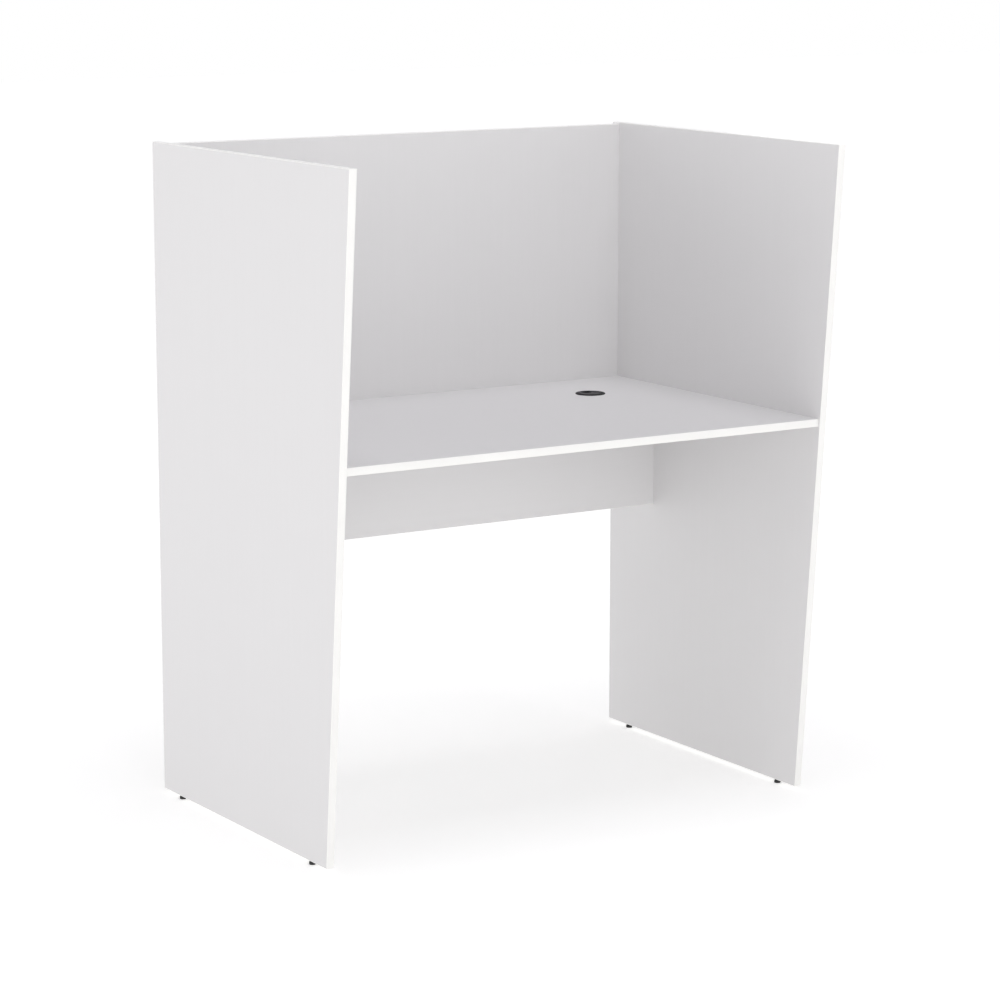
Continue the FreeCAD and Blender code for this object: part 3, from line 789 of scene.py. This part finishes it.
class CARREL_OT_covers(bpy.types.Operator):
    """Model the crowned covers over the cams"""
    bl_idname = "carrel.covers"
    bl_label = "Cam covers"

    def master(self, sizes, radius, depth):
        """A cover with its outer face at z = 0 and its peg downwards."""
        foot = -sizes.cover_thickness
        rim = foot + sizes.cover_rim
        peg = [(sizes.peg_radius, -depth), (sizes.peg_radius, foot), (radius, foot)]
        crown = [(out * radius, down * rim) for out, down in COVER_CROWN]
        return turned("cover_master", [*peg, *crown, (0, 0)], sides=48)

    def execute(self, context):
        sizes = context.scene.carrel_sizes
        finish = cover_plastic()
        for node, outward in OUTWARD.items():
            boxes = solid_boxes(node)
            size = boxes[0][1] - boxes[0][0]
            master = self.master(sizes, max(size) / 2, min(size))
            piece = copies(node.replace("_covers", "_cover_caps"), master,
                           [placement(end_centre(box, outward), outward) for box in boxes])
            bpy.data.objects.remove(master)
            stand_for(piece, node, finish)
        return {"FINISHED"}


class CARREL_OT_fittings(bpy.types.Operator):
    """Model the cam bolts and dowels, and finish the cams and inserts"""
    bl_idname = "carrel.fittings"
    bl_label = "Bolts, dowels and cams"

    def bolt(self, sizes, radius, total):
        """Bolt drawn upwards from the tip of its wood thread."""
        core = sizes.screw_radius - sizes.screw_depth
        head = total - sizes.head_length
        neck = head - sizes.neck_length
        point, shank_chamfer, under_chamfer, top_chamfer = 1.2 * MM, 0.6 * MM, 0.5 * MM, 0.8 * MM
        screw = [(0.45 * core, 0), (core, point), (core, sizes.screw_length)]
        shank = [(radius, sizes.screw_length), (radius, neck - shank_chamfer),
                 (0.85 * radius, neck)]
        waist = [(sizes.neck_radius, neck), (sizes.neck_radius, head)]
        ball = [(0.9 * radius, head), (radius, head + under_chamfer),
                (radius, total - top_chamfer), (0.8 * radius, total), (0, total)]
        body = turned("bolt_master", [*screw, *shank, *waist, *ball], sides=24)
        sunk, first_turn, last_gap = 0.1 * MM, 1.5 * MM, 0.4 * MM
        thread = threaded_rod("bolt_thread", core - sunk, sizes.screw_radius, sizes.screw_pitch,
                              first_turn, sizes.screw_length - last_gap, WOOD_THREAD, steps=16)
        combine(body, thread, "UNION")
        return body

    def dowel(self, sizes, radius, total):
        """Fluted dowel with chamfered ends."""
        sides = 48
        sides_per_flute = 4
        chamfer = sizes.dowel_chamfer
        piece = turned("dowel_master", [(radius - chamfer, 0), (radius, chamfer),
                                        (radius, total - chamfer), (radius - chamfer, total),
                                        (0, total)], sides)
        edit(piece)
        step = TURN / sides

        def in_flute(vertex):
            index = round(math.atan2(vertex.co.y, vertex.co.x) / step)
            outside = vertex.co.xy.length > radius - NEAR_FACE
            return outside and index % sides_per_flute == 0

        pick(piece, "VERT", in_flute)
        inner = 1 - sizes.flute_depth / radius
        bpy.ops.transform.resize(value=(inner, inner, 1), center_override=(0, 0, 0))
        leave_edit()
        return piece

    def execute(self, context):
        sizes = context.scene.carrel_sizes
        finishes = context.scene.carrel_finishes
        steel = metal("plated_steel", tuple(finishes.steel), roughness=0.24, speckle=900)
        zinc = metal("cast_zinc", tuple(finishes.zinc), roughness=0.40, speckle=1400)
        brass = metal("turned_brass", tuple(finishes.brass), roughness=0.26, speckle=1100)
        wood = beech()
        self.place_sets(BOLT_WAYS, self.bolt, sizes, steel, "steel_bolt", "_threaded")
        self.place_sets(DOWEL_WAYS, self.dowel, sizes, wood, "beech_dowel", "_fluted")
        for node in ("desktop_cams", "screen_cams", "modesty_cams"):
            dress(node, zinc)
        for side in SIDES:
            for end in ENDS:
                dress(f"{side}_{end}_foot_insert", brass)
        return {"FINISHED"}

    def place_sets(self, ways, make, sizes, finish, slot, ending):
        """Replace each group of like fasteners by copies of one master."""
        for node, way in ways.items():
            boxes = solid_boxes(node)
            axis = max(range(3), key=lambda index: abs(way[index]))
            size = boxes[0][1] - boxes[0][0]
            radius = size[(axis + 1) % 3] / 2
            master = make(sizes, radius, size[axis])
            piece = copies(node + ending, master,
                           [placement(end_centre(box, -way), way) for box in boxes])
            bpy.data.objects.remove(master)
            stand_for(piece, node, finish)


class CARREL_OT_feet(bpy.types.Operator):
    """Model the screw feet: moulded bases and threaded studs"""
    bl_idname = "carrel.feet"
    bl_label = "Screw feet"

    def base(self, sizes, radius, height, stud_radius, stud_foot):
        """Round base with a shallow dish below, a hexagon on top and a bore for the stud."""
        disc = sizes.foot_disc
        dish, toe, shoulder, sunk = 0.35 * MM, 0.8 * MM, 0.5 * MM, 0.5 * MM
        sole = [(0.62 * radius, dish), (0.72 * radius, 0), (0.90 * radius, 0), (radius, toe)]
        body = turned("foot_master", [*sole, (radius, disc - shoulder), (0.94 * radius, disc),
                                      (0, disc)], sides=64)
        corner = sizes.foot_flats / math.sqrt(3)
        hexagon = begin(bpy.ops.mesh.primitive_cylinder_add, "hexagon", vertices=6, radius=corner,
                        depth=height - disc + sunk, location=(0, 0, (height + disc - sunk) / 2))
        apply_place(hexagon)
        soften(hexagon, sizes.foot_rounding)
        combine(body, hexagon, "UNION")
        bore = begin(bpy.ops.mesh.primitive_cylinder_add, "stud_bore", vertices=48,
                     radius=stud_radius + sizes.stud_gap, depth=2 * height,
                     location=(0, 0, stud_foot + height))
        apply_place(bore)
        combine(body, bore, "DIFFERENCE")
        return body

    def execute(self, context):
        sizes = context.scene.carrel_sizes
        finishes = context.scene.carrel_finishes
        nylon = dark_plastic("black_nylon", tuple(finishes.nylon), grain=2200, roughness=0.42,
                             gloss=0.5)
        steel = metal("stud_steel", tuple(finishes.steel), roughness=0.22, speckle=900)
        base_low, base_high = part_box("left_front_foot_base")
        low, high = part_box("left_front_foot_stud")
        radius = (high.x - low.x) / 2
        base = self.base(sizes, (base_high.x - base_low.x) / 2, base_high.z - base_low.z,
                         radius, low.z)
        stud = threaded_rod("stud_master", radius - sizes.stud_depth, radius, sizes.stud_pitch,
                            0, high.z - low.z, MACHINE_THREAD, steps=24)
        for side in SIDES:
            for end in ENDS:
                for master, name, finish, slot, work in (
                        (base, "base", nylon, "black_foot", "moulded"),
                        (stud, "stud", steel, "steel_stud", "threaded")):
                    node = f"{side}_{end}_foot_{name}"
                    piece = copies(f"{node}_{work}", master,
                                   [Matrix.Translation(end_centre(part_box(node), -UP))])
                    stand_for(piece, node, finish)
        bpy.data.objects.remove(base)
        bpy.data.objects.remove(stud)
        return {"FINISHED"}


class CARREL_OT_grommet(bpy.types.Operator):
    """Model the cable grommet's sleeve and its lid with a cable notch"""
    bl_idname = "carrel.grommet"
    bl_label = "Cable grommet"

    def sleeve(self, sizes, radius, height):
        """Flanged sleeve with a ledge, drawn from the desktop's top at z = 0."""
        top = sizes.rim_thickness
        foot = top - height
        bore_gap, lead_in = 0.1 * MM, 0.4 * MM
        outer = radius - sizes.rim_lip - bore_gap
        bore = outer - sizes.grommet_wall
        ledge = bore - sizes.grommet_ledge
        seat = top - sizes.lid_thickness
        under = seat - sizes.ledge_thickness
        liner = [(bore, foot), (outer, foot), (outer, 0)]
        rim = [(radius, 0), (radius, 0.45 * top), (radius - 0.5 * MM, 0.8 * top),
               (radius - 1.4 * MM, top), (bore + lead_in, top), (bore, top - lead_in)]
        step = [(bore, seat), (ledge, seat), (ledge, under), (bore, under), (bore, foot)]
        return turned("grommet_sleeve_moulded", [*liner, *rim, *step], sides=96, closed=True)

    def lid(self, sizes, radius, height):
        """Lid with a shallow dished top, a skirt and a round-ended notch at the rear."""
        top = sizes.rim_thickness
        seat = top - sizes.lid_thickness
        foot = top - height
        wall = radius - sizes.grommet_ledge
        inner = wall - sizes.skirt_wall
        chamfer, dish, taper, taper_height = 0.5 * MM, 0.5 * MM, 0.3 * MM, 0.6 * MM
        skirt = [(inner, seat), (inner, foot), (wall - taper, foot), (wall, foot + taper_height),
                 (wall, seat)]
        edge = [(radius, seat), (radius, top - chamfer), (radius - chamfer, top)]
        dished = [(0.90 * radius, top), (0.87 * radius, top - 0.7 * dish),
                  (0.45 * radius, top - dish), (0, top - dish)]
        piece = turned("grommet_lid_moulded", [*skirt, *edge, *dished], sides=96)
        centre = radius - sizes.notch_depth + sizes.notch_radius
        slot = begin(bpy.ops.mesh.primitive_cylinder_add, "notch", vertices=64,
                     radius=sizes.notch_radius, depth=4 * height, location=(0, centre, 0))
        apply_place(slot)
        edit(slot)
        pick(slot, "VERT", lambda vertex: vertex.co.y > centre - WELD)
        bpy.ops.transform.resize(value=(1, 0, 1), center_override=(0, centre, 0))
        bpy.ops.transform.translate(value=(0, sizes.notch_radius + 2 * MM, 0))
        bpy.ops.mesh.select_all(action="SELECT")
        bpy.ops.mesh.remove_doubles(threshold=WELD)
        leave_edit()
        combine(piece, slot, "DIFFERENCE")

        near = 0.05 * MM

        def on_notch(vertex):
            off_flank = abs(abs(vertex.co.x) - sizes.notch_radius)
            off_round = abs(math.hypot(vertex.co.x, vertex.co.y - centre) - sizes.notch_radius)
            flank = off_flank < 0.4 * near and vertex.co.y > centre
            return (flank or off_round < near) and vertex.co.z > top - dish - near

        edit(piece)
        pick(piece, "EDGE", lambda edge: all(on_notch(vertex) for vertex in edge.verts))
        bpy.ops.mesh.bevel(offset=sizes.notch_rounding, offset_type="OFFSET", segments=2,
                           affect="EDGES")
        leave_edit()
        clean(piece)
        return piece

    def execute(self, context):
        sizes = context.scene.carrel_sizes
        finishes = context.scene.carrel_finishes
        lid_finish = dark_plastic("charcoal_plastic", tuple(finishes.charcoal), grain=1500,
                                  roughness=0.46, gloss=0.28)
        sleeve_finish = dark_plastic("sleeve_plastic", tuple(finishes.sleeve), grain=1500,
                                     roughness=0.50, gloss=0.20)
        rim_low, rim_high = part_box("grommet_sleeve")
        lid_low, lid_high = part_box("grommet_lid")
        across = (rim_low + rim_high) / 2
        desk = Matrix.Translation((across.x, across.y, rim_high.z - sizes.rim_thickness))
        sleeve = self.sleeve(sizes, (rim_high.x - rim_low.x) / 2, rim_high.z - rim_low.z)
        lid = self.lid(sizes, (lid_high.x - lid_low.x) / 2, lid_high.z - lid_low.z)
        for piece, node, finish in ((sleeve, "grommet_sleeve", sleeve_finish),
                                    (lid, "grommet_lid", lid_finish)):
            piece.data.transform(desk)
            stand_for(piece, node, finish)
        return {"FINISHED"}


class CARREL_OT_studio(bpy.types.Operator):
    """Set up the floor, the soft lights and the camera"""
    bl_idname = "carrel.studio"
    bl_label = "Studio"

    def area_light(self, name, place, aim, size, power, tone):
        """Large soft light aimed at a point."""
        deselect_all()
        bpy.ops.object.light_add(type="AREA", location=place)
        light = bpy.context.active_object
        light.name = name
        light.data.shape = "RECTANGLE"
        light.data.size, light.data.size_y = size
        light.data.energy = power
        light.data.color = tone
        light.rotation_euler = (Vector(aim) - Vector(place)).to_track_quat("-Z", "Y").to_euler()

    def surround(self, studio):
        """Even white light from all round."""
        world = bpy.data.worlds.new("studio_surround")
        world.use_nodes = True
        tree = world.node_tree
        sky = tree.nodes["Background"]
        sky.inputs["Strength"].default_value = studio.sky_strength
        way = tree.nodes.new("ShaderNodeTexCoord")
        height = tree.nodes.new("ShaderNodeSeparateXYZ")
        shades = tree.nodes.new("ShaderNodeValToRGB")
        low, high = shades.color_ramp.elements
        low.color = (*studio.sky_colour, 1)
        high.position = studio.zenith_start
        high.color = (*studio.zenith_colour, 1)
        tree.links.new(way.outputs["Generated"], height.inputs["Vector"])
        tree.links.new(height.outputs["Z"], shades.inputs["Fac"])
        tree.links.new(shades.outputs["Color"], sky.inputs["Color"])
        bpy.context.scene.world = world

    def floor(self, studio):
        """Large pale floor, level with the feet."""
        floor = begin(bpy.ops.mesh.primitive_plane_add, "studio_floor", size=2 * studio.floor_half,
                      location=(0, 0, CAD_BOX[0].z))
        apply_place(floor)
        floor.data.materials.append(studio_white(studio))

    def camera(self, studio):
        """Camera at the front left, looking a little down."""
        deselect_all()
        bpy.ops.object.camera_add(location=studio.camera_place)
        camera = bpy.context.active_object
        camera.rotation_euler = (math.pi / 2 - studio.camera_tilt, 0, -studio.camera_azimuth)
        camera.data.lens = studio.camera_lens
        camera.data.sensor_width = SENSOR_WIDTH
        bpy.context.scene.camera = camera

    def execute(self, context):
        studio = context.scene.carrel_studio
        self.surround(studio)
        self.floor(studio)
        middle = (CAD_BOX[0] + CAD_BOX[1]) / 2
        for name, (place, size, tone) in LAMPS.items():
            self.area_light(f"{name}_light", place, middle, size,
                            getattr(studio, f"{name}_power"), tone)
        self.camera(studio)
        context.scene.view_settings.view_transform = "Standard"
        return {"FINISHED"}


class CARREL_PT_sidebar(bpy.types.Panel):
    """Lists the carrel's steps"""
    bl_idname = "CARREL_PT_sidebar"
    bl_label = "Study Carrel"
    bl_space_type = "VIEW_3D"
    bl_region_type = "UI"
    bl_category = "Carrel"

    def draw(self, context):
        for step in STEPS:
            self.layout.operator(step.bl_idname)


GROUPS = {
    "carrel_finishes": CarrelFinishes,
    "carrel_sizes": CarrelSizes,
    "carrel_studio": CarrelStudio,
}
STEPS = (CARREL_OT_boards, CARREL_OT_strips, CARREL_OT_covers, CARREL_OT_fittings,
         CARREL_OT_feet, CARREL_OT_grommet, CARREL_OT_studio)
CLASSES = (*GROUPS.values(), *STEPS, CARREL_PT_sidebar)


def register():
    """Register the classes and hang the groups on the scene."""
    for item in CLASSES:
        bpy.utils.register_class(item)
    for name, group in GROUPS.items():
        setattr(bpy.types.Scene, name, PointerProperty(type=group))


def unregister():
    """Undo register."""
    for name in GROUPS:
        delattr(bpy.types.Scene, name)
    for item in reversed(CLASSES):
        bpy.utils.unregister_class(item)


def main():
    """Build everything."""
    register()
    bpy.ops.carrel.boards()
    bpy.ops.carrel.strips()
    bpy.ops.carrel.covers()
    bpy.ops.carrel.fittings()
    bpy.ops.carrel.feet()
    bpy.ops.carrel.grommet()
    bpy.ops.carrel.studio()


if __name__ == "__main__":
    main()
